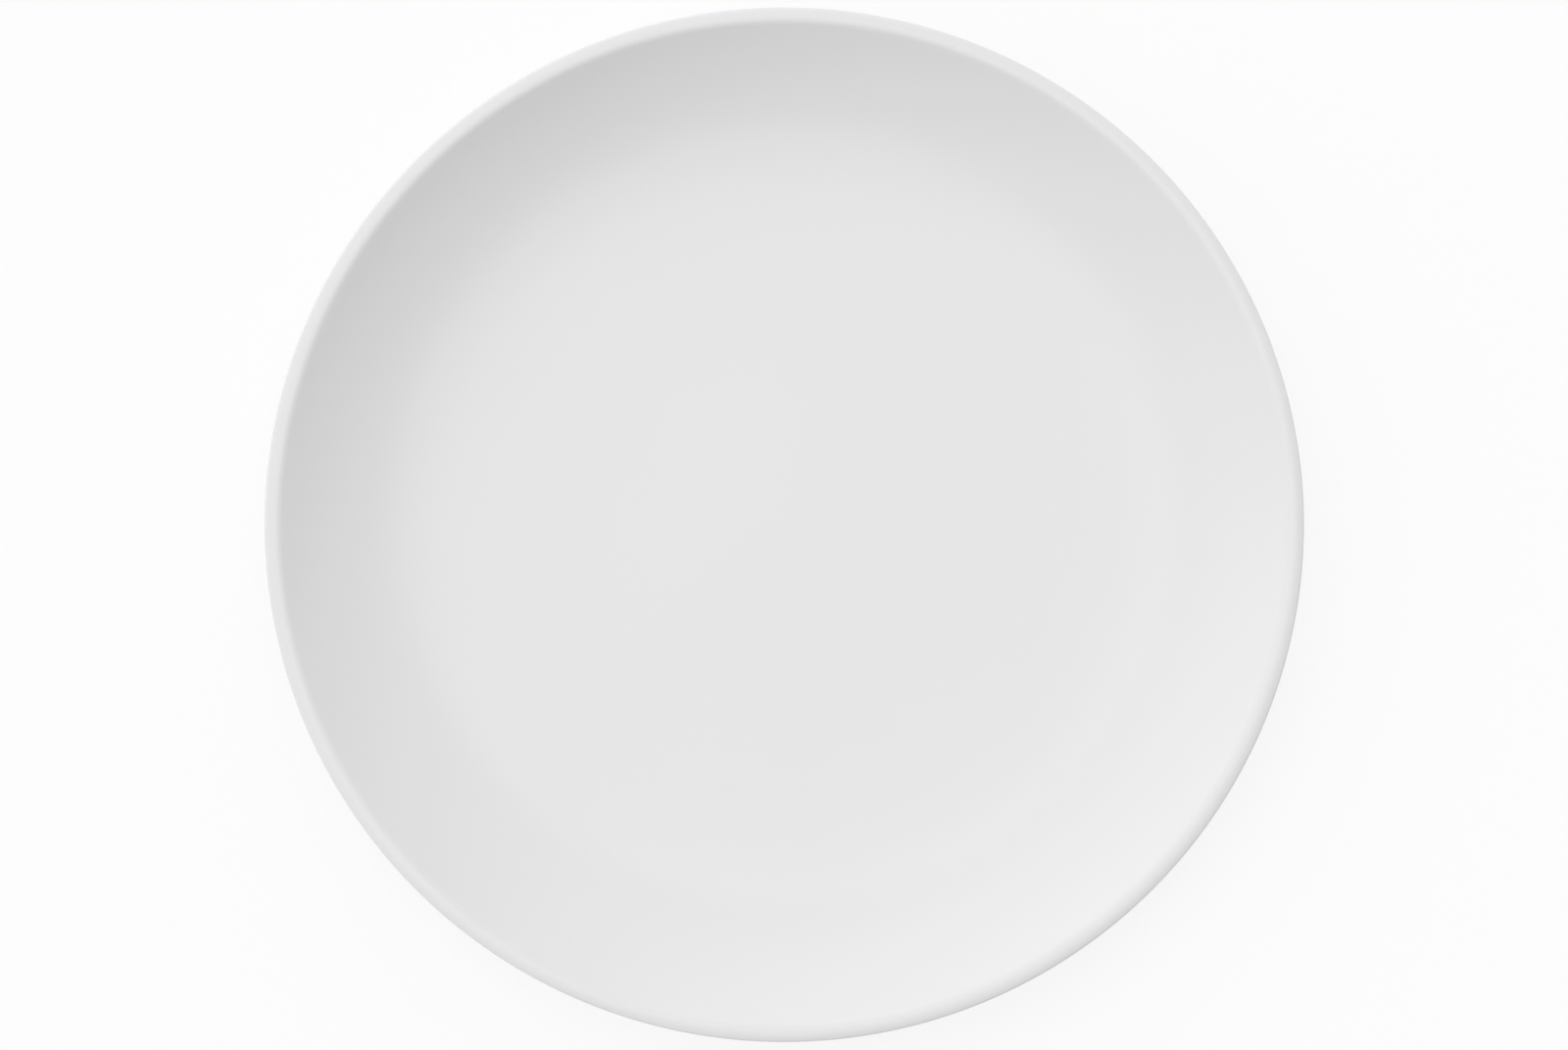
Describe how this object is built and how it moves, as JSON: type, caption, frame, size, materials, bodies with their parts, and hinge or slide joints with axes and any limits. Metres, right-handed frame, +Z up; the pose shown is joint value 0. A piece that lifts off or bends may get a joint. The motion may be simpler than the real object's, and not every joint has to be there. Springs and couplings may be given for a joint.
{
  "type": "charger plate",
  "caption": "Round rimless charger plate with a flat well, a smoothly upturned wall, a rounded lip and a low foot ring; a dinner plate or food is served on it.",
  "frame": {"origin": "centre of the foot ring, on the surface that the plate stands on", "axes": "+Z up along the plate's axis; the plate is round, so X and Y are alike"},
  "size_m": [0.32, 0.32, 0.0275],
  "materials": {
    "biscuit": "matte",
    "glaze": "gloss"
  },
  "bodies": {
    "root": {"porcelain_body": "biscuit", "outer_glaze": "glaze", "base_glaze": "glaze"}
  },
  "joints": []
}
